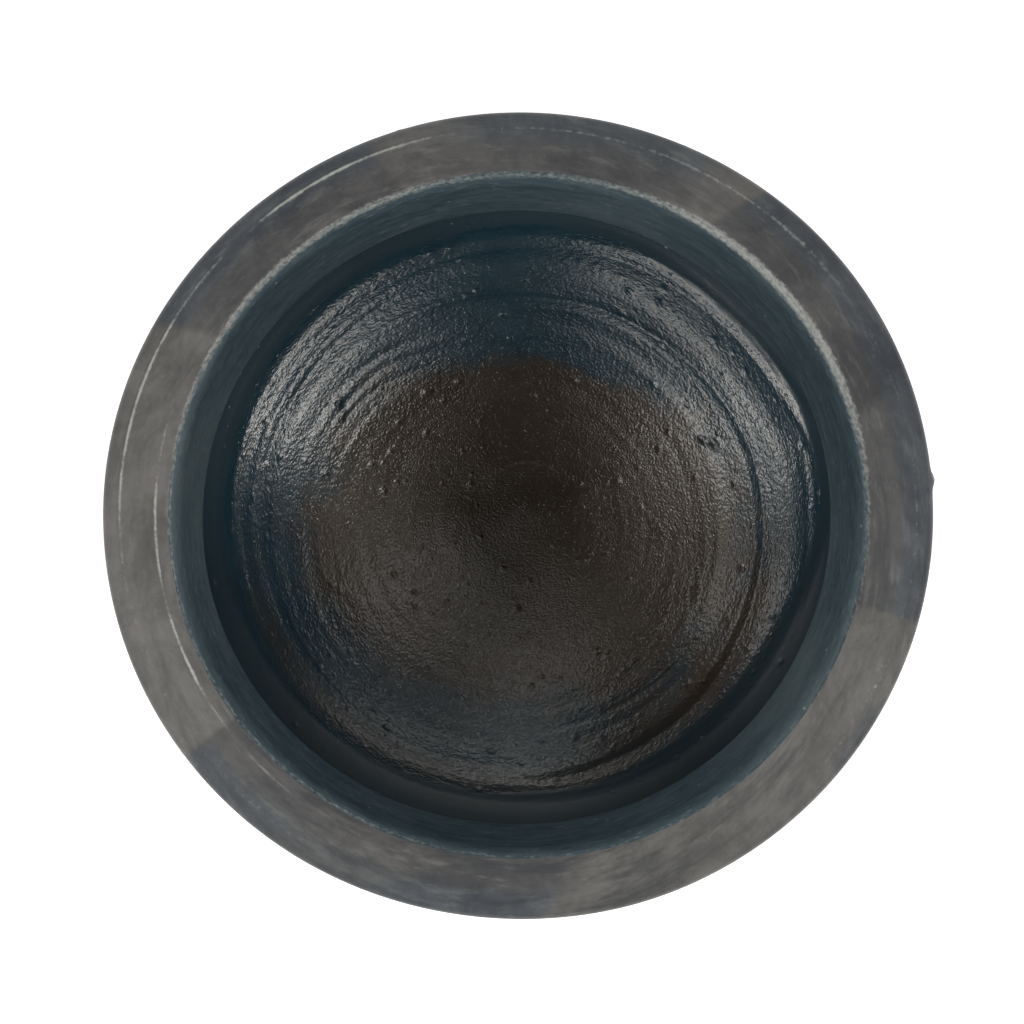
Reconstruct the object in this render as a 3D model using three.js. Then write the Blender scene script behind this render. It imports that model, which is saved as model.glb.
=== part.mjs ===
// A wide-mouthed black clay cooking pot, in millimetres, +Z up, standing on its flat foot.
// The origin is the centre of the foot. The pot is built up in eight courses of clay, each one
// a closed ring (the base pad is a disc) that meets the next along a bevelled, luted seam.
// Every course is turned about +Z, and the whole pot is then pressed slightly oval.
import * as THREE from 'three';

// Driving dimensions
const HEIGHT = 122; // foot to the crest of the mouth
const RIM_RADIUS = 120; // outer edge of the lip, before the pot is pressed oval
const LIP_HEIGHT = HEIGHT - 8.5; // widest line of the lip
const MOUTH_RADIUS = 101.3; // crest of the mouth
const THROAT_RADIUS = 94; // crisp edge at the lower end of the collar
const THROAT_HEIGHT = HEIGHT - 25;
const BELLY_RADIUS = 115.5; // outside, at its widest
const BELLY_HEIGHT = 62;
const WALL = 8; // wall thickness at the belly
const FOOT_RADIUS = 34; // flat face that the pot stands on
const FLOOR_THICKNESS = 8.5; // clay under the centre of the floor
const OVAL = 0.0135; // share by which the pot is wider along X and narrower along Y

// Fineness
const TURN_STEPS = 60; // facets around the pot
const CURVE_STEPS = 2; // straight lines between two stations of a curve

// Seams between the courses, each as its inside and its outside end, [radius, height].
const FLOOR_SEAM = { inside: [66, 21], outside: [68.9, 13.2] };
const HEEL_SEAM = { inside: [93.5, 35.5], outside: [98.1, 29] };
const BELLY_SEAM = { inside: [106, 50], outside: [113.5, 47.2] };
const SHOULDER_SEAM = { inside: [105.6, 77], outside: [113, 79] };
const THROAT_SEAM = { inside: [THROAT_RADIUS, THROAT_HEIGHT], outside: [102.3, 98.5] };
const MOUTH_SEAM = { inside: [MOUTH_RADIUS, HEIGHT], outside: [105.4, 105.6] };
const LIP_SEAM = { inside: [115.2, 118], outside: [114.4, 107.8] };
const LIP_EDGE = [RIM_RADIUS, LIP_HEIGHT];

// The two sides of the wall, as smooth curves that meet at creases. Each runs from the middle
// of the floor or foot, up the wall and out along the rim, and both end at the lip's edge.
const INSIDE = sideOfWall(
  [
    [0, FLOOR_THICKNESS], [20, 9.7], [36, 12.2], [51, 16], FLOOR_SEAM.inside, [80, 27.2],
    HEEL_SEAM.inside, [101.5, 42.5],
    BELLY_SEAM.inside, [BELLY_RADIUS - WALL, BELLY_HEIGHT], SHOULDER_SEAM.inside, [101, 89.5],
    THROAT_SEAM.inside,
  ],
  [THROAT_SEAM.inside, [95.6, 106], [98.4, 118.6], MOUTH_SEAM.inside],
  [MOUTH_SEAM.inside, [108, 120.8], LIP_SEAM.inside, [118.9, 116.4], LIP_EDGE],
);
const OUTSIDE = sideOfWall(
  [
    [FOOT_RADIUS, 0], [43, 2.8], [55, 7.4], FLOOR_SEAM.outside, [83.5, 20.3], HEEL_SEAM.outside,
    [107.6, 37.6],
    BELLY_SEAM.outside, [BELLY_RADIUS, BELLY_HEIGHT], SHOULDER_SEAM.outside, [107.4, 90.5],
    THROAT_SEAM.outside, MOUTH_SEAM.outside, LIP_SEAM.outside, [118.6, 109.8], LIP_EDGE,
  ],
);

// Blackened clay: matt on the floor, burnished on the collar and dusty on the rim.
const clay = (color, roughness) => new THREE.MeshStandardMaterial({ color, roughness, metalness: 0 });

function sideOfWall(...curves) {
  return curves.flatMap((stations) => {
    const curve = new THREE.SplineCurve(stations.map(([r, z]) => new THREE.Vector2(r, z)));
    return curve.getPoints((stations.length - 1) * CURVE_STEPS);
  });
}

// The stretch of one side of the wall between two stations, both included.
function stretch(side, from, to) {
  const place = ([r, z]) => side.findIndex((p) => Math.hypot(p.x - r, p.y - z) < 1e-6);
  return side.slice(place(from), place(to) + 1);
}

// A solid turned about +Z from a closed outline that runs up its outside and down its inside.
function turned(name, outline, material) {
  const corners = outline.filter((p, i) => i === 0 || p.distanceTo(outline[i - 1]) > 1e-6);
  const geometry = new THREE.LatheGeometry(corners, TURN_STEPS);
  geometry.rotateX(Math.PI / 2);
  const mesh = new THREE.Mesh(geometry, material);
  mesh.name = name;
  return mesh;
}

// The disc that the wall is built on: a flat foot below and a slightly dished floor above.
function basePad(material) {
  const foot = stretch(OUTSIDE, [FOOT_RADIUS, 0], FLOOR_SEAM.outside);
  const floor = stretch(INSIDE, [0, FLOOR_THICKNESS], FLOOR_SEAM.inside).reverse();
  return turned('base_pad', [new THREE.Vector2(0, 0), ...foot, ...floor], material);
}

// A ring of the wall between a lower and an upper seam.
function course(name, lower, upper, material) {
  const outside = stretch(OUTSIDE, lower.outside, upper.outside);
  const inside = stretch(INSIDE, lower.inside, upper.inside).reverse();
  return turned(name, [...outside, ...inside, outside[0]], material);
}

// The rounded bead around the rim, outside the fine groove that sets it off from the flange.
function lipBead(material) {
  const under = stretch(OUTSIDE, LIP_SEAM.outside, LIP_EDGE);
  const top = stretch(INSIDE, LIP_SEAM.inside, LIP_EDGE).reverse();
  return turned('lip_bead', [...under, ...top, under[0]], material);
}

const pot = new THREE.Group();
pot.scale.set(1 + OVAL, 1 - OVAL, 1);
pot.add(
  basePad(clay(0x2d2926, 0.75)),
  course('heel_course', FLOOR_SEAM, HEEL_SEAM, clay(0x2c3235, 0.45)),
  course('lower_belly_course', HEEL_SEAM, BELLY_SEAM, clay(0x23292d, 0.5)),
  course('upper_belly_course', BELLY_SEAM, SHOULDER_SEAM, clay(0x23292d, 0.5)),
  course('shoulder_course', SHOULDER_SEAM, THROAT_SEAM, clay(0x252b2f, 0.5)),
  course('neck_collar', THROAT_SEAM, MOUTH_SEAM, clay(0x2a3439, 0.42)),
  course('rim_flange', MOUTH_SEAM, LIP_SEAM, clay(0x4c4b4a, 0.6)),
  lipBead(clay(0x535250, 0.6)),
);

export default pot;
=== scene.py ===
"""A wide-mouthed black clay cooking pot on a pale floor, seen from above.

The visible clay is one continuous skin, swept around the pot's axis along the outline of the CAD courses.
Its relief is that of clay worked by hand: throwing ridges, drag lines, grooves, dents and pits. The skin is
cut at the seams of the courses, so every course is a closed piece of its own. Lengths in the outline are in
metres, and the relief is written in millimetres.

Not all numbers here were set by hand. The stain's edge, the ridges and the scratches were placed with a
program that turned positions in the photograph into degrees and millimetres. The lights began as a fit to
the photograph's brightness.
"""
import math

import bpy
import numpy as np
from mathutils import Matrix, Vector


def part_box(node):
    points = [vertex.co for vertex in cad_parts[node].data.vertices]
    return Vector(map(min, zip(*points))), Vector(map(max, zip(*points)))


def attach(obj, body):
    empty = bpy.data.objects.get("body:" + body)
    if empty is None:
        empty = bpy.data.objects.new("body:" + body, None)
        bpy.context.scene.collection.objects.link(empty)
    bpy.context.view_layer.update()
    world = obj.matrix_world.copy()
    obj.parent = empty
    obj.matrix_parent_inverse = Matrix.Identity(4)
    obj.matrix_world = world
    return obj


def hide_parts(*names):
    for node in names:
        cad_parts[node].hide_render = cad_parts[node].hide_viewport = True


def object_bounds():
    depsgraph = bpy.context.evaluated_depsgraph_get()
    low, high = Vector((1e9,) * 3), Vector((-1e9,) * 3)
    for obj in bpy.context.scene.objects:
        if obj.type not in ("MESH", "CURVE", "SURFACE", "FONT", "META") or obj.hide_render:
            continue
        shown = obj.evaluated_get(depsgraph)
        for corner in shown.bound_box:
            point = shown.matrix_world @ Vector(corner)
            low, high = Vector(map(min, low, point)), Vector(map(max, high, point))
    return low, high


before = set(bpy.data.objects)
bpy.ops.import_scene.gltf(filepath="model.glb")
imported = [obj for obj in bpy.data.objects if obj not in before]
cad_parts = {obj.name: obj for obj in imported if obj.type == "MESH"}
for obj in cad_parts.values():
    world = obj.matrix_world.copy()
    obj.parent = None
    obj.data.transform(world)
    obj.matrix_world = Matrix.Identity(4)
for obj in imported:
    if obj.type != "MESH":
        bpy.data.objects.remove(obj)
cad_low, cad_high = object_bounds()

MM = 0.001
COURSES = [
    "base_pad", "heel_course", "lower_belly_course", "upper_belly_course",
    "shoulder_course", "neck_collar", "rim_flange", "lip_bead",
]
SLOTS = {
    "base_pad": "floor_clay", "heel_course": "belly_clay", "lower_belly_course": "belly_clay",
    "upper_belly_course": "belly_clay", "shoulder_course": "belly_clay", "neck_collar": "collar_clay",
    "rim_flange": "rim_clay", "lip_bead": "rim_clay",
}

# Sizes that follow from the frame
WIDTH = cad_high.x - cad_low.x
DEPTH = cad_high.y - cad_low.y
RIM_RADIUS = (WIDTH + DEPTH) / 4
OVAL_X = WIDTH / 2 / RIM_RADIUS
OVAL_Y = DEPTH / 2 / RIM_RADIUS
CREST_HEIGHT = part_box("neck_collar")[1].z
THROAT_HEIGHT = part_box("neck_collar")[0].z

# Fineness of the skin
COLUMNS = 720
STEP = 0.25 * MM
CURVE_POINTS = 24  # points of the smooth curve between two points of the outline
ROWS_PER_RING = {  # how many steps of the outline one ring of faces takes, inside and outside
    "base_pad": (3, 7), "heel_course": (2, 6), "lower_belly_course": (2, 5), "upper_belly_course": (4, 5),
    "shoulder_course": (3, 4), "neck_collar": (2, 4), "rim_flange": (1, 3), "lip_bead": (1, 2),
}
TURN = np.arange(COLUMNS) * 2 * np.pi / COLUMNS
DEGREES = np.linspace(0, 360, COLUMNS, endpoint=False)
random = np.random.default_rng(7)
line_random = np.random.default_rng(11)


def bell(offset, width):
    """1 where the offset is 0, falling away smoothly over the width."""
    return np.exp(-0.5 * (offset / width) ** 2)


def eased_step(x, low, high):
    """0 below low, 1 above high and smooth between."""
    t = np.clip((x - low) / (high - low), 0, 1)
    return t * t * (3 - 2 * t)


# ---------------------------------------------------------------- outline

NEAR = 1e-6  # how near a point has to be to count as on the cutting plane or on the axis, in metres
DECIMALS = 5  # outline points are rounded to 0.01 mm, so that courses share the points of their seams


def links_of(node):
    """The CAD node's outline on the plane of +X as {point: neighbours}. A point is (radius, height)."""
    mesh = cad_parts[node].data
    co = np.array([v.co for v in mesh.vertices])
    on_plane = (np.abs(co[:, 1]) < NEAR) & (co[:, 0] > -NEAR)
    points = [(round(x / OVAL_X, DECIMALS), round(z, DECIMALS)) for x, _, z in co]
    links = {}
    for edge in mesh.edges:
        a, b = edge.vertices
        if on_plane[a] and on_plane[b] and points[a] != points[b]:
            links.setdefault(points[a], set()).add(points[b])
            links.setdefault(points[b], set()).add(points[a])
    return links


def walk(links, start, avoid, stops):
    """The stretch of an outline from start to the first point in stops, not setting off along a seam."""
    path = [start]
    before = avoid
    while path[-1] not in stops or len(path) == 1:
        onward = [p for p in links[path[-1]] if p != before and p not in path]
        before = path[-1]
        path.append(onward[0])
    return path


def read_outline():
    """Stretches of the outline: one for each course's inside, one for the whole lip and one for each
    course's outside. Each starts at the floor's or the foot's end."""
    links = [links_of(node) for node in COURSES]
    seams = []
    for lower, upper in zip(links, links[1:]):
        ends = sorted(set(lower) & set(upper), key=lambda p: p[1] - p[0])
        seams.append({"outside": ends[0], "inside": ends[1]})
    axis = sorted((p for p in links[0] if p[0] < NEAR), key=lambda p: p[1])
    inside = [walk(links[0], axis[1], axis[0], [seams[0]["inside"]])]
    outside = [walk(links[0], axis[0], axis[1], [seams[0]["outside"]])]
    for i, (low, high) in enumerate(zip(seams, seams[1:])):
        inside.append(walk(links[i + 1], low["inside"], low["outside"], [high["inside"]]))
        outside.append(walk(links[i + 1], low["outside"], low["inside"], [high["outside"]]))
    lip = walk(links[-1], seams[-1]["inside"], seams[-1]["outside"], [seams[-1]["outside"]])
    return inside, lip, outside


def curve_through(points, before, after):
    """A smooth curve through a stretch's points, in steps of about STEP. before and after are the points
    next to the stretch, or None at a crease."""
    p = np.array(points)
    first = before if before is not None else 2 * p[0] - p[1]
    last = after if after is not None else 2 * p[-1] - p[-2]
    p = np.vstack([first, p, last])
    made = []
    for a, b, c, d in zip(p, p[1:], p[2:], p[3:]):
        t = np.linspace(0, 1, CURVE_POINTS, endpoint=False)[:, None]
        made.append(0.5 * (2 * b + (c - a) * t + (2 * a - 5 * b + 4 * c - d) * t**2
                           + (3 * b - 3 * c + d - a) * t**3))
    made = np.vstack(made + [p[-2][None]])
    length = np.concatenate([[0], np.cumsum(np.linalg.norm(np.diff(made, axis=0), axis=1))])
    steps = max(4, round(length[-1] / STEP))
    even = np.linspace(0, length[-1], steps + 1)
    return np.stack([np.interp(even, length, made[:, k]) for k in (0, 1)], axis=1)


def sweep_outline():
    """The whole outline as an array of (radius, height), from the floor's centre over the lip to the foot's
    centre, and for each course the rows of its inside and outside."""
    inside, lip, outside = read_outline()
    stretches = inside + [lip] + [list(reversed(s)) for s in reversed(outside)]
    throat, crest = COURSES.index("shoulder_course"), COURSES.index("neck_collar")
    creases = {inside[throat][-1], inside[crest][-1]}
    last = len(stretches) - 1
    rows = []
    marks = [0]
    for i, stretch in enumerate(stretches):
        if stretch[0] in creases:
            before = None
        elif i == 0:
            before = np.array((-stretch[1][0], stretch[1][1]))
        else:
            before = np.array(stretches[i - 1][-2])
        after = None if stretch[-1] in creases or i == last else np.array(stretches[i + 1][1])
        curve = curve_through(stretch, before, after)
        rows.append(curve if i == last else curve[:-1])
        marks.append(marks[-1] + len(curve) - 1)
    spans = {}
    for k, node in enumerate(COURSES[:-1]):
        spans[node] = ((marks[k], marks[k + 1]), (marks[last - k], marks[last + 1 - k]))
    lip_at = len(COURSES) - 1
    spans[COURSES[-1]] = ((marks[lip_at], marks[lip_at + 1]), None)
    return np.vstack(rows), spans


def eased(values, width):
    """values along the outline, smoothed by a bell of the given width in rows, with the ends kept."""
    reach = int(math.ceil(3 * width))
    weights = bell(np.arange(-reach, reach + 1), width)
    ends = np.pad(values, reach, mode="reflect", reflect_type="odd")
    return np.convolve(ends, weights / weights.sum(), mode="valid")


outline, spans = sweep_outline()
crest_row = spans["neck_collar"][0][1]
near_crest = bell((np.arange(len(outline)) - crest_row) * STEP, 2.5 * MM)
for axis in (0, 1):
    slightly = eased(outline[:, axis], 0.6 * MM / STEP)
    well = eased(outline[:, axis], 1.6 * MM / STEP)
    outline[:, axis] = slightly + (well - slightly) * near_crest
radius = np.maximum(outline[:, 0], 0)
height = outline[:, 1]
radius[0] = radius[-1] = 0
along = np.concatenate([[0], np.cumsum(np.hypot(np.diff(radius), np.diff(height)))])


# ---------------------------------------------------------------- places on the skin

radius_mm = radius / MM
path_mm = along / MM
height_mm = height / MM
row = np.arange(len(radius))
throat_row = spans["neck_collar"][0][0]
groove_row, under_row = spans["lip_bead"][0]
lip_row = int(np.argmax(radius))

# shares by row, from 0 to 1
in_bowl = (row < throat_row).astype(float)
belly = eased(in_bowl * eased_step(radius_mm, 45, 75), 6)
floor_part = eased(in_bowl * (1 - eased_step(radius_mm, 45, 75)), 6)
collar = eased(((row >= throat_row) & (row < crest_row)).astype(float), 6)
rim = eased(((row >= crest_row) & (row < under_row)).astype(float), 6)
outer = eased((row >= under_row).astype(float), 6)
off_axis = eased_step(radius_mm, 6, 30)
off_foot = 1 - (row > under_row) * (1 - eased_step(height_mm, 0.3, 6))
over_rim = np.clip((row - crest_row) / (lip_row - crest_row), 0, 1)


def row_at(low, high, wanted):
    """The row between two rows whose radius is nearest to the wanted one, in millimetres."""
    return low + int(np.argmin(np.abs(radius_mm[low:high] - wanted)))


def column_at(degrees):
    return int(round(degrees / 360 * COLUMNS)) % COLUMNS


# ---------------------------------------------------------------- relief, in millimetres

def rough_field(row_length, column_length):
    """Random relief with a deviation of 1 over the whole skin, smooth over the given lengths in millimetres
    along the outline and around the rim."""
    shape = (len(radius), COLUMNS)
    wide = row_length * MM / STEP
    long = column_length * MM / (2 * math.pi * RIM_RADIUS / COLUMNS)
    rows = np.exp(-2 * (np.pi * np.fft.fftfreq(shape[0]) * wide) ** 2)[:, None]
    columns = np.exp(-2 * (np.pi * np.fft.rfftfreq(shape[1]) * long) ** 2)[None]
    field = np.fft.irfft2(np.fft.rfft2(random.standard_normal(shape)) * rows * columns, s=shape)
    return field / field.std()


def around(places):
    """A smooth closed line through the given values, {degrees: value}, at every column."""
    corner = 7  # degrees over which corners are rounded
    degrees = np.array(sorted(places))
    values = np.array([places[d] for d in degrees], float)
    linear = np.interp(DEGREES, degrees, values, period=360)
    weights = bell(np.minimum(DEGREES, 360 - DEGREES), corner)
    return np.fft.irfft(np.fft.rfft(linear) * np.fft.rfft(weights / weights.sum()), n=COLUMNS)


def along_arc(places, strength):
    """For every column of up to two turns: a line's radius in mm and its share, 0 outside the arc. places
    and strength are {degrees: value}, eased over a few degrees, and the degrees may pass 360."""
    step = 360 / COLUMNS
    reach = 24
    t = np.arange(-reach, 2 * COLUMNS + reach) * step
    weights = bell(np.arange(-reach, reach + 1) * step, 2.5)
    weights /= weights.sum()
    line, share = (
        np.convolve(np.interp(t, sorted(table), [table[d] for d in sorted(table)]), weights, mode="valid")
        for table in (places, strength))
    for turn in (0, 1):
        here = slice(turn * COLUMNS, (turn + 1) * COLUMNS)
        yield line[here], share[here]


def uneven_line(width):
    """Random values around the pot with a deviation of 1, smooth over width degrees."""
    weights = bell(np.minimum(DEGREES, 360 - DEGREES), width)
    line = np.fft.irfft(np.fft.rfft(line_random.standard_normal(COLUMNS)) * np.fft.rfft(weights), n=COLUMNS)
    return line / line.std()


def scratch(places, width, depth, strength):
    """A fine line pressed or pushed up in the bowl over an open arc."""
    arcs = along_arc(places, strength)
    made = sum(share * bell(radius_mm[:, None] - line, width) for line, share in arcs)
    return depth * made * in_bowl[:, None]


def finger_ridge(places, depth, above, below, strength):
    """A throwing ridge in the bowl over an open arc. Its crest follows places, and it falls away over the
    distances above and below, in mm."""
    rounding = 0.3  # mm over which the crest is round
    sharpness = 1.3
    made = np.zeros((len(radius), COLUMNS))
    for line, share in along_arc(places, strength):
        offset = radius_mm[:, None] - line
        reach = np.where(offset > 0, above, below)
        away = np.sqrt(offset**2 + rounding**2) - rounding
        made += share * np.clip(1 - away / reach, 0, 1) ** sharpness
    return depth * made * in_bowl[:, None]


def groove_line(middle, share, depth, width, bank, bank_width, bank_offset):
    """A groove along the rim at the middle's distance up the outline, with a bank of pushed-up clay on its
    side towards the mouth, in mm."""
    offset = path_mm[:, None] - middle
    pushed_up = bank * bell(offset + bank_offset, bank_width)
    return rim[:, None] * share * (pushed_up - depth * bell(offset, width))


def swept(field):
    """A random field whose rows are moved along the outline so that its lines circle around a point off the
    pot's axis, as the potter's marks in the bowl do."""
    off_centre = 7.0  # mm
    towards = math.radians(235)
    lean = off_centre * eased_step(radius_mm, 5, 45) * (1 - 0.75 * eased_step(radius_mm, 78, 94)) * in_bowl
    shift = lean[:, None] * np.cos(TURN - towards) * MM / STEP
    source = np.clip(row[:, None] - shift, 0, len(radius) - 1.001)
    low = source.astype(int)
    share = source - low
    columns = np.arange(COLUMNS)[None]
    return field[low, columns] * (1 - share) + field[low + 1, columns] * share


def dimple(at_row, at_column, across, depth, stretch=1.0, lean=0.0):
    """A small pit (or bump) centred on a row and column, with its width in millimetres."""
    reach = int(4 * across * stretch * MM / STEP) + 2
    rows = np.arange(max(0, at_row - reach), min(len(radius), at_row + reach))
    girth = max(radius[at_row], 2 * MM) * 2 * math.pi / COLUMNS / MM
    turns = int(4 * across * stretch / girth) + 2
    columns = np.arange(at_column - turns, at_column + turns + 1)
    if len(columns) >= COLUMNS:
        return
    down = (rows - at_row)[:, None] * STEP / MM
    side = (columns - at_column)[None] * girth
    u = down * math.cos(lean) + side * math.sin(lean)
    v = side * math.cos(lean) - down * math.sin(lean)
    dent = np.exp(-0.5 * ((u / across) ** 2 + (v / across / stretch) ** 2))
    relief[np.ix_(rows, columns % COLUMNS)] += depth * dent


wall_grain = belly * (1 - 0.85 * eased_step(radius_mm, 93.5, 98))
ridged = wall_grain + 0.25 * collar + 0.35 * outer * off_foot
dragged = wall_grain + 0.5 * floor_part * off_axis + 0.3 * collar + 0.5 * rim + 0.6 * outer * off_foot
relief = np.zeros((len(radius), COLUMNS))
# the hand's unevenness, long and low
relief += 0.18 * rough_field(16, 32) * (off_axis * off_foot * (1 - 0.55 * rim))[:, None]
# finger ridges and finer drag lines, drawn out around the pot
relief += 0.085 * swept(rough_field(2.4, 95)) * ridged[:, None]
relief += 0.03 * swept(rough_field(0.75, 26)) * dragged[:, None]
# the coarse clay of the bowl
relief += 0.014 * swept(rough_field(0.6, 1.0)) * (wall_grain + 0.7 * floor_part * off_axis)[:, None]

# the wall turns up steeply above the throwing ridges
turn_up = around({
    0: 92.2, 12: 93.4, 18: 93.6, 25: 91.2, 31: 89.9, 38: 89.5, 47: 89.1, 54: 89.2, 64: 91.3, 90: 91.5,
    120: 92, 180: 92.5, 215: 90, 235: 89, 265: 89, 285: 89.5, 305: 87.5, 330: 86.5, 345: 89,
})
relief += (1.3 * eased_step(radius_mm[:, None], turn_up, turn_up + 7)
           * (in_bowl * (1 - eased_step(height_mm, 66, 90)))[:, None])

# throwing ridges, each from where it starts to where it fades: {degrees: radius}, {degrees: share}
relief += finger_ridge(
    places={345: 91.6, 378: 91.9},
    depth=0.25, above=1.6, below=3.0,
    strength={345: 0, 355: 1, 370: 1, 378: 0})
relief += finger_ridge(
    places={13: 95.4, 19: 93.3, 25: 91.7, 31: 90.5, 38: 90.1, 47: 89.5, 62: 89.6, 72: 89.6},
    depth=1.25, above=4.1, below=11.0,
    strength={13: 0, 18: 0.7, 28: 1, 60: 1, 72: 0})
relief += finger_ridge(
    places={58: 92.5, 64: 90.5, 68: 89.5, 83: 89.5, 97: 88.6, 121: 89.0, 140: 88.6, 160: 89.7, 180: 90.7,
            215: 91, 240: 91},
    depth=0.55, above=3.0, below=4.5,
    strength={60: 0, 66: 1, 80: 0.6, 92: 0.5, 115: 1, 180: 0.7, 240: 0})
relief += finger_ridge(
    places={98: 84.1, 121: 84.1, 150: 83.8, 160: 84.7, 180: 85.5, 195: 85.8, 210: 86},
    depth=0.60, above=2.4, below=10.0,
    strength={98: 0, 112: 0.8, 150: 1, 180: 0.7, 195: 0.6, 210: 0})
relief += finger_ridge(
    places={195: 85.8, 215: 86.2, 239: 85.9, 275: 85},
    depth=0.60, above=7.0, below=6.0,
    strength={195: 0, 210: 0.6, 240: 1, 260: 1, 275: 0})
# the long one comes down from the lower wall on the right and ends as a wide ledge above the floor
long_ridge = {
    265: 89.9, 278: 88.2, 292: 86.0, 310: 83.8, 328: 81.0, 344: 79.1, 360: 77.7, 373: 77.2, 379: 76.2,
    385: 75.5, 392: 74.7, 398: 74.4, 407: 73.5, 416: 73.1, 434: 73.2, 452: 72.8, 475: 73,
}
relief += finger_ridge(
    places=long_ridge,
    depth=0.75, above=4.0, below=2.8,
    strength={265: 0, 284: 0.8, 330: 1, 350: 0.9, 370: 0})
relief += finger_ridge(
    places=long_ridge,
    depth=0.95, above=6.5, below=3.6,
    strength={350: 0, 370: 0.9, 385: 1, 420: 1, 450: 0.6, 475: 0})
relief += finger_ridge(
    places={275: 76.5, 300: 75.5, 325: 73.5, 345: 72},
    depth=0.25, above=3.5, below=3.0,
    strength={275: 0, 290: 1, 330: 1, 345: 0})
# finer ridges on the left of the floor, and a fine one low on the right
relief += finger_ridge(
    places={111: 66, 115: 66.5, 127: 70.4, 142: 73.7, 161: 75.2, 172: 75.5},
    depth=0.11, above=2.0, below=1.6,
    strength={111: 0, 118: 1, 155: 1, 172: 0})
relief += finger_ridge(
    places={105: 58.5, 113: 60.9, 133: 68.0, 151: 69.6, 160: 70.8},
    depth=0.13, above=1.8, below=1.6,
    strength={105: 0, 116: 1, 148: 1, 160: 0})
relief += finger_ridge(
    places={116: 57.5, 123: 59.5, 142: 65.5, 154: 67.2, 165: 68},
    depth=0.10, above=1.6, below=1.6,
    strength={116: 0, 126: 1, 150: 1, 165: 0})
relief += finger_ridge(
    places={268: 72.5, 288: 71.4, 308: 70.0, 322: 68.6, 332: 67.5},
    depth=0.16, above=2.2, below=1.2,
    strength={268: 0, 280: 1, 320: 1, 332: 0})

# the round impression in the middle of the floor, and short scratches beside it
impression = 18.5 + 0.5 * np.sin(TURN * 2 + 1)
arc = around({0: 0.3, 50: 0.6, 75: 1, 115: 1, 135: 0.6, 160: 0.15, 320: 0.1})
relief -= 0.16 * arc * bell(radius_mm[:, None] - impression, 0.5) * in_bowl[:, None]
for low, high, outer_end, inner_end in ((322, 334, 66, 58.5), (333, 344, 63.8, 58), (280, 287, 62.5, 60),
                                        (305, 317, 69.7, 68.9), (316, 328, 59, 56), (300, 310, 62, 60)):
    relief += scratch(
        places={low: outer_end, high: inner_end},
        width=0.28, depth=-0.28,
        strength={low: 0, low + 3: 1, high - 3: 1, high: 0})

# the groove that sets off the lip, and a finer one nearer the mouth; both come and go
broken = np.clip(0.68 + 0.16 * uneven_line(1.4) + 0.26 * uneven_line(7), 0, 1.15)
groove = path_mm[groove_row] + around({
    0: 0.4, 60: -0.3, 120: 0.5, 165: 0.2, 210: -0.5, 270: 0.6, 310: -0.2,
})
deep = broken * around({
    0: 0.3, 30: 0.4, 60: 0.3, 90: 0.3, 108: 1, 165: 1, 185: 0.3, 240: 0.3, 300: 0.2, 340: 0.3,
})
relief += groove_line(groove, deep, depth=0.22, width=0.4, bank=0.20, bank_width=0.45, bank_offset=0.9)
fine = path_mm[crest_row] + 4.2 + around({0: 0, 90: 0.4, 200: -0.3, 250: 0.2, 300: 0})
shown = broken * around({
    0: 0.1, 90: 0, 150: 0.1, 172: 0.6, 187: 0.9, 222: 0.9, 238: 0.4, 250: 0.1, 330: 0.1,
})
relief += groove_line(fine, shown, depth=0.1, width=0.35, bank=0.09, bank_width=0.35, bank_offset=0.6)

# pits in the bowl, and pits and grits on the collar and the rim
PITS = 420
GRITS = 150
for _ in range(PITS):
    at = row_at(0, throat_row, 12 + 92 * math.sqrt(random.random()))
    size = 0.28 + 0.35 * random.random() ** 2
    dimple(at, random.integers(COLUMNS), size, depth=-0.5 * size, stretch=1.3)
for _ in range(GRITS):
    at = int(random.integers(throat_row, under_row))
    size = 0.22 + 0.25 * random.random()
    dimple(at, random.integers(COLUMNS), size, depth=random.choice([-0.45, 0.35]) * size, stretch=1.4)
# a few deeper holes in the bowl, a nick in the rim with its raised edge, and a small lump on the lip
for degrees, at, size in ((21, 65.9, 1.0), (23, 63.5, 0.7), (149, 71, 0.8), (152, 68, 0.6), (300, 55, 0.6)):
    dimple(row_at(0, throat_row, at), column_at(degrees), size, depth=-0.6 * size, stretch=1.5, lean=0.5)
dimple(row_at(crest_row, lip_row, 116.6), column_at(175.5), 0.35, depth=-0.5, stretch=4.5, lean=0.9)
dimple(row_at(crest_row, lip_row, 115.4), column_at(173.6), 0.35, depth=0.2, stretch=5.0, lean=0.9)
dimple(lip_row, column_at(4.8), 1.1, depth=0.9, stretch=1.3)

# ---------------------------------------------------------------- smoke stains, 0 to 1

def patch(first, last, amount):
    """A patch that lies across the rim. first and last are its edges: (degrees at the mouth, degrees at the
    lip, softness in degrees)."""
    made = np.zeros((len(radius), COLUMNS))
    for turn in (-360, 0, 360):
        t = np.degrees(TURN)[None] + turn
        starts = first[0] + (first[1] - first[0]) * over_rim[:, None]
        ends = last[0] + (last[1] - last[0]) * over_rim[:, None]
        made += (eased_step(t, starts - first[2] / 2, starts + first[2] / 2)
                 * (1 - eased_step(t, ends - last[2] / 2, ends + last[2] / 2)))
    return amount * made


on_rim = (rim > 0.5)[:, None]
on_collar = (row >= throat_row)[:, None] & ~on_rim
mottle = 2.5 * rough_field(3.0, 7) + 2.0 * rough_field(1.2, 3)

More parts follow.
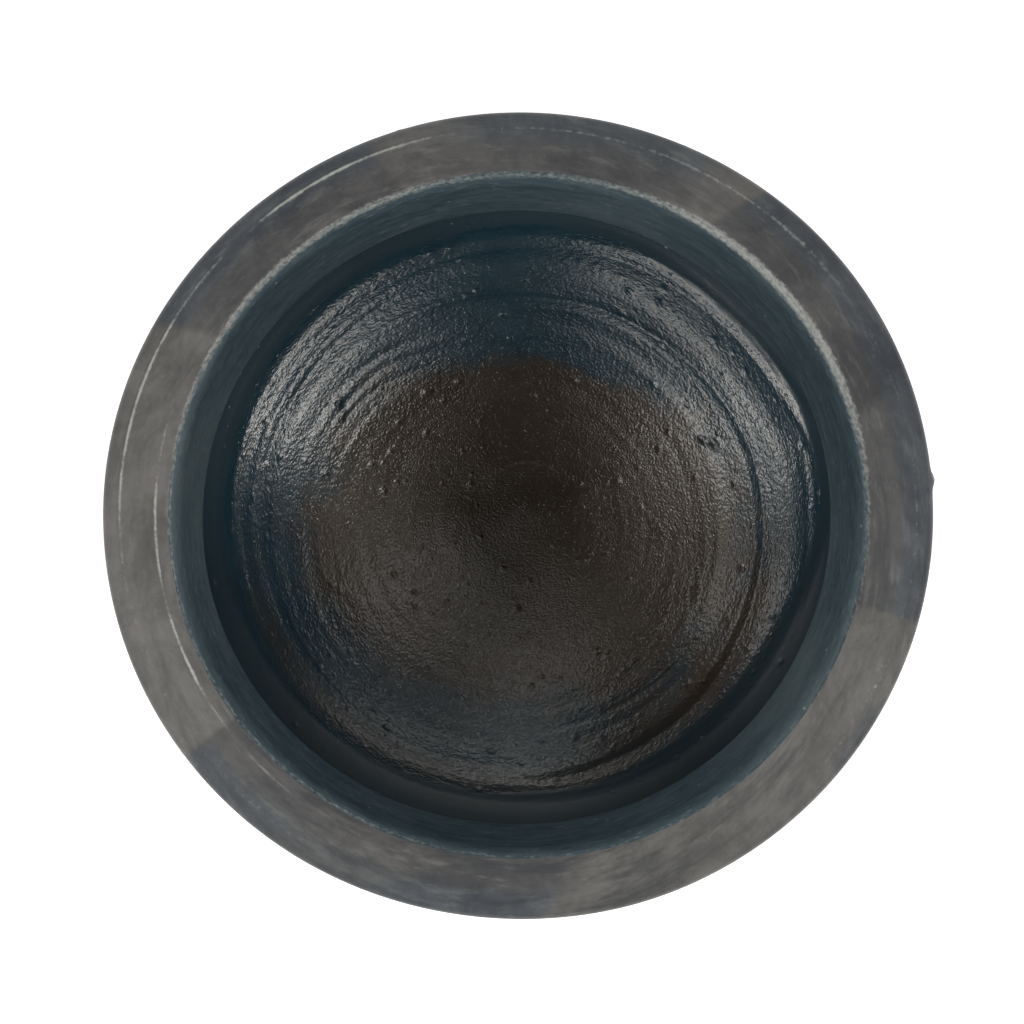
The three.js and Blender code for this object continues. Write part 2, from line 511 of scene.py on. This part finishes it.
# blue-black smoke lies on the wall of the bowl and runs out to brown on the floor
stain_edge = around({
    0: 70.8, 16: 67.8, 32: 64, 48: 53, 63: 51.6, 93: 53, 112: 54.6, 122: 58.8, 136: 64.8, 151: 68, 165: 65,
    180: 72.8, 195: 72.8, 210: 67.3, 224: 65, 239: 62.4, 253: 60.8, 268: 61.6, 282: 66.7, 297: 70.5,
    313: 72.7, 328: 71.7, 344: 71,
})
softness = around({0: 20, 30: 12, 50: 4, 95: 4, 120: 12, 160: 16, 180: 14, 250: 12, 300: 16, 360: 20})
blue = eased_step(radius_mm[:, None] + mottle * softness / 18, stain_edge - softness, stain_edge + softness)
low_bare = around({270: 0, 290: 0.8, 325: 1, 350: 0.5, 365: 0})
high_bare = around({180: 0, 200: 1, 285: 1, 300: 0})
blue -= 0.75 * bell(radius_mm[:, None] - 82, 6) * low_bare
blue -= 0.5 * bell(radius_mm[:, None] - 90, 4) * high_bare

# above the ridges the wall was wiped smooth
smooth_edge = around({
    0: 94.5, 17: 95.5, 25: 93.4, 31: 92.1, 38: 91.7, 47: 91.2, 54: 91.4, 62: 93.6, 72: 94.5, 90: 95.5,
    140: 96, 180: 96, 225: 95.5, 270: 93, 290: 91, 312: 88, 330: 88, 345: 91,
})
smooth = eased_step(radius_mm[:, None] + 0.12 * mottle, smooth_edge - 0.8, smooth_edge + 1.2)
smooth *= in_bowl[:, None]

# the rim is blue-grey with paler dry patches, and less blue towards the mouth
pale = (patch((57, 52.4, 1.2), (63, 60, 6), 0.75) + patch((97, 98, 12), (109, 111.5, 1.6), 0.45)
        + patch((148, 152.5, 2.2), (216.6, 216.8, 0.9), 1.0) + patch((236, 234, 6), (264, 244, 4), 0.25)
        + patch((281, 274, 7), (345, 344.6, 1.0), 0.9))
pale -= 0.7 * patch((326, 319, 2), (328, 333, 3), 1.0) * eased_step(over_rim, 0.45, 0.8)[:, None]
blue = np.where(on_rim, (1 - pale) * (0.35 + 0.65 * eased_step(over_rim, 0.3, 0.6))[:, None], blue)
pale = np.clip(pale, 0, 1) * on_rim
# smears of darker smoke on the rim
smoke = around({
    0: 0.6, 45: 0.6, 90: 0.4, 135: 0.6, 160: 0.3, 200: 0.4, 225: 0.7, 240: 1, 280: 1, 300: 0.7, 345: 0.6,
}) * on_rim
# the collar has lighter, drier clouds
clouded = around({
    0: 0.5, 30: 0.1, 60: 0.6, 90: 0.3, 120: 0.3, 150: 0.6, 180: 0.8, 205: 0.7, 225: 0.1, 285: 0.1, 305: 0.7,
    330: 1, 350: 0.7,
})
blue = np.clip(np.where(on_collar, clouded, blue), 0, 1)

# ---------------------------------------------------------------- rubbed edges and painted highlights, 0 to 1

# painted highlight along the crest of the mouth, strongest from 20 to 55 and from 106 to 146 degrees
crest_highlight = around({
    0: 0.5, 10: 0.55, 20: 0.85, 55: 0.9, 75: 0.6, 95: 0.5, 106: 0.7, 146: 0.75, 160: 0.6, 205: 0.5,
    240: 0.55, 290: 0.35, 340: 0.35,
})
crest_width = around({0: 0.8, 20: 1.2, 55: 1.15, 75: 0.75, 106: 1.0, 146: 0.9, 165: 0.6, 300: 0.6})
crest_middle = path_mm[crest_row] + around({
    0: 0.1, 60: -0.5, 90: -0.8, 120: -0.4, 150: 0, 180: -0.3, 240: -0.7, 270: -0.5, 330: 0,
})
pale_rub_and_highlight = crest_highlight * bell(path_mm[:, None] - crest_middle, crest_width)
# painted highlights on the banks of the two grooves, with scuffs beside the wider one
groove_highlight = broken * around({
    0: 0.2, 25: 0.35, 45: 0.35, 60: 0.2, 95: 0.3, 112: 0.9, 165: 0.9, 178: 0.4, 200: 0.15, 330: 0.15,
})
scuffs = around({
    0: 0.4, 25: 0.7, 50: 1, 56: 0.2, 62: 1, 75: 0.6, 90: 0.2, 110: 0.7, 165: 0.5, 200: 0.6, 235: 0.8,
    250: 0.1, 310: 0.2, 325: 0.9, 343: 0.9, 350: 0.1,
})
pale_rub_and_highlight += groove_highlight * bell(path_mm[:, None] - groove + 0.9, 0.4) * rim[:, None]
pale_rub_and_highlight += 1.1 * shown * bell(path_mm[:, None] - fine + 0.6, 0.35) * rim[:, None]
pale_rub_and_highlight += 0.36 * scuffs * bell(path_mm[:, None] - groove + 1.5, 2.6) * rim[:, None]
# the lip: painted highlight, and clay rubbed pale, strongest from 190 to 250 and from 330 to 344 degrees
lip_rub_and_highlight = around({
    0: 0.5, 40: 0.3, 90: 0.2, 150: 0.3, 190: 1, 250: 1, 265: 0.3, 322: 0.2, 330: 1, 344: 1, 350: 0.2,
})
pale_rub_and_highlight += lip_rub_and_highlight * bell(path_mm[:, None] - path_mm[lip_row] + 1.0, 0.7)
# clay rubbed pale, and painted highlight, on any fine high spot
high_spots = relief - np.stack([eased(relief[:, j], 6) for j in range(COLUMNS)], axis=1)
pale_rub_and_highlight += 1.2 * np.clip(high_spots - 0.03, 0, 0.2) * (rim + 0.5 * collar)[:, None]
pale_rub_and_highlight = np.clip(pale_rub_and_highlight, 0, 1)

# ---------------------------------------------------------------- skin

tangent = np.stack([np.gradient(radius), np.gradient(height)], axis=1)
tangent /= np.linalg.norm(tangent, axis=1)[:, None]
normal = np.stack([-tangent[:, 1], tangent[:, 0]], axis=1)
# the rim isn't a true oval
wobble = MM * around({
    0: 0, 30: 0.25, 60: 0.1, 90: -0.2, 125: -0.75, 165: 0.2, 195: 0.4, 225: 0.3, 265: 0, 290: 0.8, 330: 0.2,
})
wobble_share = eased_step(radius / RIM_RADIUS, 0.2, 0.9)
# the throat and the mouth's crest are drawn in, most of all on the left, and the throat sits off its centre
THROAT_ASIDE = (1.2 * MM, 0.3 * MM)
near_throat = np.exp(-0.5 * ((height - THROAT_HEIGHT) / (14 * MM)) ** 2) * (row < crest_row)
throat_in = MM * around({
    0: 0.8, 60: 0.9, 90: 0.9, 120: 1.1, 150: 1.9, 175: 2.0, 200: 1.4, 240: 0.7, 270: 0.4, 300: 0.9,
    330: 1.0,
})
near_mouth = bell(path_mm - path_mm[crest_row], 6)
mouth_in = MM * around({
    0: 1.0, 60: 0.2, 90: 0.2, 120: 0.3, 150: 1.4, 175: 1.9, 200: 1.6, 240: 1.1, 270: 0.6, 330: 0.8,
})
across = (radius[:, None] + relief * MM * normal[:, :1] + wobble * wobble_share[:, None]
          - throat_in * near_throat[:, None] - mouth_in * near_mouth[:, None])
skin = np.stack([
    across * np.cos(TURN) * OVAL_X - THROAT_ASIDE[0] * near_throat[:, None],
    across * np.sin(TURN) * OVAL_Y - THROAT_ASIDE[1] * near_throat[:, None],
    np.maximum(height[:, None] + relief * MM * normal[:, 1:], 0),
], axis=2)
skin[0, :] = skin[0].mean(axis=0)
skin[-1, :] = skin[-1].mean(axis=0)
down_path = np.gradient(skin, axis=0)
round_turn = np.roll(skin, -1, axis=1) - np.roll(skin, 1, axis=1)
skin_normal = np.cross(down_path, round_turn)
skin_normal[0] = (0, 0, 1)
skin_normal[-1] = (0, 0, -1)
skin_normal /= np.maximum(np.linalg.norm(skin_normal, axis=2, keepdims=True), 1e-12)

# what the clay's materials read at every point of the skin
SKIN_VALUES = {"blue": blue, "pale": pale, "pale_rub_and_highlight": pale_rub_and_highlight, "smooth": smooth, "smoke": smoke}


def chosen_rows(span, step):
    low, high = span
    return np.unique(np.round(np.linspace(low, high, max(2, round((high - low) / step) + 1))).astype(int))


def rows_of(node):
    """The rows of the skin in a course, first its inside and then its outside, and how many are inside."""
    inside, outside = spans[node]
    inside_step, outside_step = ROWS_PER_RING[node]
    rows = chosen_rows(inside, inside_step)
    count = len(rows)
    if outside:
        rows = np.concatenate([rows, chosen_rows(outside, outside_step)])
    return rows, count


def faces_between(a, b, first, poles):
    """The ring of faces between two rows of the skin, or the fan of them around a pole. first gives each
    row's first vertex."""
    here, there = first[a], first[b]
    for j in range(COLUMNS):
        k = (j + 1) % COLUMNS
        if a in poles:
            yield here, there + j, there + k
        elif b in poles:
            yield here + j, there, here + k
        else:
            yield here + j, there + j, there + k, here + k


def give_normals(mesh, normals, hidden):
    """Gives the mesh the skin's normals, and flat ones where hidden faces close it at its seams."""
    corner_vertices = np.zeros(len(mesh.loops), int)
    mesh.loops.foreach_get("vertex_index", corner_vertices)
    corner_normals = np.array(normals)[corner_vertices]
    starts = np.zeros(len(mesh.polygons), int)
    totals = np.zeros(len(mesh.polygons), int)
    mesh.polygons.foreach_get("loop_start", starts)
    mesh.polygons.foreach_get("loop_total", totals)
    flat = np.array([p.normal[:] for p in mesh.polygons])
    for i in np.nonzero(hidden)[0]:
        corner_normals[starts[i]:starts[i] + totals[i]] = flat[i]
    mesh.polygons.foreach_set("use_smooth", np.ones(len(mesh.polygons), bool))
    mesh.normals_split_custom_set(corner_normals.tolist())


def build_course(node):
    """The closed piece of one course: its rows of the skin, with its seams closed through the wall."""
    rows, inside_count = rows_of(node)
    poles = [r for r in (0, len(radius) - 1) if r in rows]
    counts = [1 if r in poles else COLUMNS for r in rows]
    first = dict(zip(rows, np.cumsum([0] + counts)))
    vertices = np.concatenate([skin[r, :count] for r, count in zip(rows, counts)])
    normals = np.concatenate([skin_normal[r, :count] for r, count in zip(rows, counts)])
    pairs = list(zip(rows, rows[1:])) + ([] if poles else [(rows[-1], rows[0])])
    seams = {(rows[inside_count - 1], rows[inside_count % len(rows)]), (rows[-1], rows[0])}
    faces = []
    hidden = []
    for pair in pairs:
        ring = list(faces_between(*pair, first, poles))
        faces.extend(ring)
        hidden.extend([pair in seams] * len(ring))
    mesh = bpy.data.meshes.new(node)
    mesh.from_pydata(vertices.tolist(), [], faces)
    mesh.update()
    piece = bpy.data.objects.new(node + "_clay", mesh)
    bpy.context.scene.collection.objects.link(piece)
    give_normals(mesh, normals, hidden)
    for name, field in SKIN_VALUES.items():
        values = np.concatenate([field[r, :count] for r, count in zip(rows, counts)])
        mesh.attributes.new(name, "FLOAT", "POINT").data.foreach_set("value", values)
    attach(piece, "root")
    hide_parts(node)
    return piece


pieces = {node: build_course(node) for node in COURSES}


# ---------------------------------------------------------------- clay

GRAIN_CENTRE = (-0.0040, -0.0057)  # the point that the clay's grain circles around, in metres
EVEN_WITHIN = 0.045  # the radius, in metres, below which drawn-out grain keeps its size


class Shader:
    """A material's node tree, with short calls for the arithmetic that the clay needs."""

    def __init__(self, name):
        self.material = bpy.data.materials.new(name)
        self.material.use_nodes = True
        self.tree = self.material.node_tree
        self.tree.nodes.clear()

    def add(self, kind, inputs=None, **settings):
        node = self.tree.nodes.new(kind)
        for key, value in settings.items():
            setattr(node, key, value)
        for key, value in (inputs or {}).items():
            self.put(node.inputs[key], value)
        return node

    def put(self, socket, value):
        if isinstance(value, bpy.types.NodeSocket):
            self.tree.links.new(value, socket)
        else:
            socket.default_value = value

    def math(self, operation, *values):
        node = self.add("ShaderNodeMath", operation=operation)
        for socket, value in zip(node.inputs, values):
            self.put(socket, value)
        return node.outputs[0]

    def ramp(self, value, low, high, start=0.0, end=1.0):
        """start where the value is low and end where it is high, and smooth between."""
        node = self.add("ShaderNodeMapRange", {
            "Value": value, "From Min": low, "From Max": high, "To Min": start, "To Max": end,
        }, interpolation_type="SMOOTHSTEP")
        return node.outputs[0]

    def mix(self, share, first, second):
        node = self.add("ShaderNodeMix", {0: share, 6: first, 7: second}, data_type="RGBA")
        return node.outputs[2]

    def around_zero(self, value, amount):
        """A noise value moved to lie around 0, times amount."""
        return self.math("MULTIPLY", self.math("SUBTRACT", value, 0.5), amount)

    def place(self):
        """Position, radius and the coordinate that grows up the wall, in metres, and the direction from the
        axis."""
        self.position = self.add("ShaderNodeNewGeometry").outputs["Position"]
        x, y, z = self.add("ShaderNodeSeparateXYZ", {0: self.position}).outputs
        square = self.math("ADD", self.math("MULTIPLY", x, x), self.math("MULTIPLY", y, y))
        self.r = self.math("MAXIMUM", self.math("SQRT", square), 0.0005)
        self.east = self.math("DIVIDE", x, self.r)
        self.north = self.math("DIVIDE", y, self.r)
        lean = self.math("ADD", self.math("MULTIPLY", self.east, GRAIN_CENTRE[0]),
                         self.math("MULTIPLY", self.north, GRAIN_CENTRE[1]))
        self.up_wall = self.math("ADD", self.math("SUBTRACT", self.r, lean), z)

    def drawn_out(self, around_count, along_scale):
        """A vector that changes around_count units for each radian around the pot and along_scale for each
        metre up the wall, so that noise on it is drawn out around the pot, and even near the floor's
        middle."""
        inward = self.math("MINIMUM", self.math("DIVIDE", self.r, EVEN_WITHIN), 1)
        count = self.math("MULTIPLY", inward, around_count)
        return self.add("ShaderNodeCombineXYZ", {
            0: self.math("MULTIPLY", self.east, count),
            1: self.math("MULTIPLY", self.north, count),
            2: self.math("MULTIPLY", self.up_wall, along_scale),
        }).outputs[0]

    def noise(self, vector, scale=1.0, detail=2.0, roughness=0.5, distortion=0.0):
        return self.add("ShaderNodeTexNoise", {
            "Vector": vector, "Scale": scale, "Detail": detail, "Roughness": roughness,
            "Distortion": distortion,
        }).outputs["Fac"]

    def bump(self, height, distance, under=None):
        inputs = {"Height": height, "Distance": distance, "Strength": 1.0}
        if under is not None:
            inputs["Normal"] = under
        return self.add("ShaderNodeBump", inputs).outputs[0]

    def attribute(self, name):
        return self.add("ShaderNodeAttribute", attribute_name=name).outputs["Fac"]

    def cells(self, vector, scale):
        """Cells of a random pattern: each one's own chance, 0 to 1, and the distance from its middle."""
        found = self.add("ShaderNodeTexVoronoi", {"Vector": vector, "Scale": scale}, feature="F1")
        chance = self.add("ShaderNodeSeparateColor", {0: found.outputs["Color"]}).outputs[0]
        return chance, found.outputs["Distance"]

    def grit(self, vector, share):
        """Low round grains of clay, of uneven height, on a share of the surface."""
        chance, distance = self.cells(vector, 1.0)
        size = self.ramp(chance, 1 - share, 1, 0, 1)
        return self.math("MULTIPLY", size, self.ramp(distance, 0.62, 0.0))

    def specks(self, scale, share, size):
        """Round spots of clay grit: 1 in a spot. Only a share of the cells has one."""
        chance, distance = self.cells(self.position, scale)
        kept = self.math("LESS_THAN", chance, share)
        return self.math("MULTIPLY", kept, self.ramp(distance, size, size * 0.5))

    def pale_rub_and_highlight_share(self):
        """Share of the surface painted pale, for rubbed clay and for painted highlights, broken up by the
        fine grain of the clay.
        """
        grain = self.around_zero(self.noise(self.drawn_out(70, 1100), 1, 2, 0.6), 0.9)
        return self.ramp(self.math("ADD", self.attribute("pale_rub_and_highlight"), grain), 0.30, 1.1)

    def finish(self, color, roughness, normal, glow=0.0, ior=1.5):
        surface = self.add("ShaderNodeBsdfPrincipled", {
            "Base Color": color, "Roughness": roughness, "Normal": normal, "IOR": ior,
            "Emission Color": (1, 1, 1, 1), "Emission Strength": glow,
        })
        out = self.add("ShaderNodeOutputMaterial")
        self.tree.links.new(surface.outputs[0], out.inputs[0])
        return self.material


# Colours of the bowl, each from its darker to its lighter end
BOWL_BROWN = (0.034, 0.021, 0.012, 1), (0.045, 0.030, 0.019, 1)
BOWL_BLUE = (0.009, 0.033, 0.052, 1), (0.016, 0.046, 0.068, 1)
# the smooth band's colour: painted shade makes it darker towards -Y
WIPED_UNSHADED = (0.026, 0.050, 0.068, 1)
WIPED_PAINTED_SHADE = (0.010, 0.027, 0.040, 1)
BOWL_SPECK = (0.30, 0.28, 0.24, 1)


def bowl_clay(name):
    """The inside of the bowl: matt brown on the floor, blue-black and glossier where the smoke stained the
    wall."""
    s = Shader(name)
    s.place()
    patches = s.noise(s.position, 45, 4, 0.6)
    stain = s.math("ADD", s.attribute("blue"), s.around_zero(patches, 0.22))
    wall = s.ramp(stain, 0.0, 1.0)
    brown = s.mix(s.ramp(patches, 0.35, 0.65), *BOWL_BROWN)
    blue = s.mix(s.ramp(s.noise(s.drawn_out(5, 90), 1, 4, 0.6), 0.35, 0.65), *BOWL_BLUE)
    color = s.mix(wall, brown, blue)
    smooth = s.attribute("smooth")
    # painted shade: the smooth band darkens towards -Y
    color = s.mix(smooth, color, s.mix(s.ramp(s.north, 0.2, -0.3), WIPED_UNSHADED, WIPED_PAINTED_SHADE))
    color = s.mix(s.math("MULTIPLY", s.specks(260, 0.02, 0.16), 0.5), color, BOWL_SPECK)
    unwiped = s.ramp(smooth, 0, 1, 1, 0.2)
    grain = s.math("MULTIPLY", s.noise(s.drawn_out(58, 1000), 1, 1, 0.45), unwiped)
    coarse = s.math("MULTIPLY", s.grit(s.drawn_out(70, 1150), 0.6), unwiped)
    normal = s.bump(coarse, 0.00006, s.bump(grain, 0.00014))
    matter = s.math("MULTIPLY", smooth, s.ramp(s.north, 0.1, -0.5, 0, 0.2))
    roughness = s.math("ADD", s.ramp(wall, 0, 1, 0.29, 0.28), s.around_zero(patches, 0.10))
    roughness = s.math("ADD", roughness, matter)
    return s.finish(color, roughness, normal, ior=1.64)


# Colours of the collar
COLLAR_BLUE = (0.034, 0.060, 0.078, 1), (0.064, 0.098, 0.118, 1)
COLLAR_CLOUD = (0.104, 0.141, 0.160, 1)
COLLAR_LIGHT_FLECK = (0.150, 0.180, 0.190, 1)
COLLAR_DARK_FLECK = (0.018, 0.036, 0.050, 1)
# pale of rubbed clay, also used for the painted highlight along the crest
COLLAR_RUB_AND_HIGHLIGHT = (0.40, 0.42, 0.41, 1)
COLLAR_SPECK = (0.30, 0.30, 0.28, 1)


def collar_clay(name):
    """The smoothed blue-black band inside the mouth, wiped around while it was wet."""
    s = Shader(name)
    s.place()
    streaks = s.noise(s.drawn_out(7, 420), 1, 5, 0.65)
    clouds = s.noise(s.drawn_out(2.4, 45), 1, 4, 0.6)
    color = s.mix(s.ramp(streaks, 0.3, 0.7), *COLLAR_BLUE)
    light = s.math("ADD", s.math("MULTIPLY", s.attribute("blue"), 0.55), s.math("SUBTRACT", clouds, 0.5))
    color = s.mix(s.ramp(light, 0.1, 0.9), color, COLLAR_CLOUD)
    flecks = s.noise(s.drawn_out(26, 900), 1, 2, 0.6)
    color = s.mix(s.ramp(flecks, 0.56, 0.74, 0, 0.5), color, COLLAR_LIGHT_FLECK)
    color = s.mix(s.ramp(flecks, 0.42, 0.28, 0, 0.45), color, COLLAR_DARK_FLECK)
    # rubbed clay and painted highlights go pale
    color = s.mix(s.pale_rub_and_highlight_share(), color, COLLAR_RUB_AND_HIGHLIGHT)
    color = s.mix(s.math("MULTIPLY", s.specks(300, 0.06, 0.16), 0.6), color, COLLAR_SPECK)
    normal = s.bump(s.noise(s.position, 1400, 2, 0.5), 0.00006, s.bump(streaks, 0.00012))
    roughness = s.ramp(clouds, 0.3, 0.7, 0.50, 0.60)
    return s.finish(color, roughness, normal, ior=1.30)


# Colours of the rim, the first three from their darker to their lighter end
RIM_BLUE = (0.050, 0.062, 0.078, 1), (0.104, 0.118, 0.135, 1)
RIM_BROWN = (0.058, 0.055, 0.055, 1), (0.118, 0.112, 0.110, 1)
RIM_DRY = (0.098, 0.097, 0.096, 1), (0.185, 0.183, 0.180, 1)
RIM_STREAK = (0.26, 0.265, 0.27, 1)
RIM_SMEAR = (0.040, 0.048, 0.058, 1)
# pale of rubbed clay, also used for the painted highlights on the crest, the lip and the groove banks
RIM_RUB_AND_HIGHLIGHT = (0.46, 0.47, 0.46, 1)
RIM_SPECK = (0.38, 0.36, 0.32, 1)


def rim_clay(name):
    """The wiped rim: blue-grey smoke with paler, dry patches, and fine drag lines."""
    s = Shader(name)
    s.place()
    streaks = s.noise(s.drawn_out(9, 520), 1, 5, 0.65)
    clouds = s.noise(s.drawn_out(5, 75), 1, 6, 0.75, 0.4)
    blue, brown, dry = (s.mix(s.ramp(clouds, 0.3, 0.7), *ends) for ends in (RIM_BLUE, RIM_BROWN, RIM_DRY))
    color = s.mix(s.attribute("blue"), brown, blue)
    color = s.mix(s.attribute("pale"), color, dry)
    color = s.mix(s.ramp(streaks, 0.50, 0.75, 0, 0.35), color, RIM_STREAK)
    smears = s.ramp(s.noise(s.drawn_out(4, 300), 1, 5, 0.7), 0.42, 0.70, 0, 0.85)
    color = s.mix(s.math("MULTIPLY", smears, s.attribute("smoke")), color, RIM_SMEAR)
    # rubbed clay and painted highlights go pale
    color = s.mix(s.pale_rub_and_highlight_share(), color, RIM_RUB_AND_HIGHLIGHT)
    color = s.mix(s.math("MULTIPLY", s.specks(240, 0.02, 0.16), 0.6), color, RIM_SPECK)
    normal = s.bump(s.noise(s.position, 1300, 2, 0.5), 0.00006, s.bump(streaks, 0.00014))
    roughness = s.ramp(clouds, 0.3, 0.7, 0.52, 0.64)
    return s.finish(color, roughness, normal, ior=1.4)


CLAYS = {"floor_clay": bowl_clay, "belly_clay": bowl_clay, "collar_clay": collar_clay, "rim_clay": rim_clay}
clays = {slot: make(slot) for slot, make in CLAYS.items()}
for node, piece in pieces.items():
    piece.data.materials.append(clays[SLOTS[node]])


# ---------------------------------------------------------------- stage, light and camera

FLOOR_HALF = 12.0  # half the floor's width, in metres
FLOOR_GAP = 0.0002  # how far the floor lies under the pot, in metres
FLOOR_GLOW = 0.7  # how strongly the pale floor shines by itself, as on a light table
FLOOR_WHITE = (0.83, 0.83, 0.83, 1), (0.86, 0.86, 0.86, 1)
LIGHT_DISTANCE = 1.3  # from the middle of the mouth, in metres
LIGHT_COLOR = (1.0, 0.965, 0.91)
ROOM_COLOR = (0.94, 0.97, 1.0, 1)
SENSOR_WIDTH = 36  # of the camera, in mm


def pale_floor():
    mesh = bpy.data.meshes.new("floor")
    corners = [(x * FLOOR_HALF, y * FLOOR_HALF, 0) for x, y in ((-1, -1), (1, -1), (1, 1), (-1, 1))]
    mesh.from_pydata(corners, [], [(0, 1, 2, 3)])
    ground = bpy.data.objects.new("floor", mesh)
    bpy.context.scene.collection.objects.link(ground)
    ground.location.z = cad_low.z - FLOOR_GAP
    s = Shader("pale_floor")
    s.place()
    tone = s.mix(s.noise(s.position, 6, 3, 0.5), *FLOOR_WHITE)
    mesh.materials.append(s.finish(tone, 0.6, s.bump(s.noise(s.position, 300), 0.0001), FLOOR_GLOW))


def softbox(azimuth, elevation, width, tall, power):
    """A soft light that is aimed at the pot's mouth. Azimuth is counted from +X towards +Y, in degrees."""
    name = f"softbox_{azimuth}"
    light = bpy.data.lights.new(name, "AREA")
    light.shape = "RECTANGLE"
    light.size = width
    light.size_y = tall
    light.energy = power
    light.color = LIGHT_COLOR
    lamp = bpy.data.objects.new(name, light)
    bpy.context.scene.collection.objects.link(lamp)
    a, e = math.radians(azimuth), math.radians(elevation)
    lamp.location = (LIGHT_DISTANCE * math.cos(e) * math.cos(a), LIGHT_DISTANCE * math.cos(e) * math.sin(a),
                     CREST_HEIGHT + LIGHT_DISTANCE * math.sin(e))
    lamp.rotation_euler = (math.pi / 2 - e, 0, a + math.pi / 2)


def camera(lens, rim_share, aside, target):
    """A camera above the pot at which the rim takes rim_share of the picture's width."""
    data = bpy.data.cameras.new("camera")
    data.lens = lens
    data.sensor_width = SENSOR_WIDTH
    body = bpy.data.objects.new("camera", data)
    bpy.context.scene.collection.objects.link(body)
    away = WIDTH / rim_share * lens / data.sensor_width
    lip_height = height[lip_row]
    body.location = (aside[0], aside[1], lip_height + away)
    dx, dy = aside[0] - target[0], aside[1] - target[1]
    body.rotation_euler = (-math.atan2(dy, away), math.atan2(dx, away), 0)
    bpy.context.scene.camera = body


def room_light(zenith, sides):
    """The room's own light, with one strength straight above and another around the sides."""
    world = bpy.data.worlds.new("studio")
    world.use_nodes = True
    tree = world.node_tree
    up = tree.nodes.new("ShaderNodeSeparateXYZ")
    tree.links.new(tree.nodes.new("ShaderNodeTexCoord").outputs["Generated"], up.inputs[0])
    level = tree.nodes.new("ShaderNodeMapRange")
    level.interpolation_type = "SMOOTHSTEP"
    for key, value in (("From Min", 0.55), ("From Max", 0.95), ("To Min", sides), ("To Max", zenith)):
        level.inputs[key].default_value = value
    tree.links.new(up.outputs["Z"], level.inputs["Value"])
    sky = tree.nodes["Background"]
    sky.inputs["Color"].default_value = ROOM_COLOR
    tree.links.new(level.outputs[0], sky.inputs["Strength"])
    bpy.context.scene.world = world


pale_floor()
# the two main lights stand to the left and right of the picture, a little below its middle
for azimuth, elevation, width, tall, power in (
    (202, 42, 0.35, 0.35, 4.6),
    (332, 38, 0.30, 0.30, 5.0),
    (310, 37, 0.30, 0.35, 2.5),
    (240, 30, 0.50, 0.50, 2.7),
    (226, 37, 0.30, 0.30, 1.4),
    (90, 25, 0.50, 0.50, 2.4),
    (60, 25, 0.50, 0.50, 1.8),
    (160, 40, 0.30, 0.30, 1.5),
    (32, 66, 0.30, 0.30, 1.3),
    (100, 60, 0.30, 0.30, 0.9),
):
    softbox(azimuth, elevation, width, tall, power)
camera(lens=85, rim_share=0.8105, aside=(0.021, 0.003), target=(-0.0013, 0.0009))
room_light(zenith=0.0, sides=0.03)
bpy.context.scene.view_settings.view_transform = "Standard"
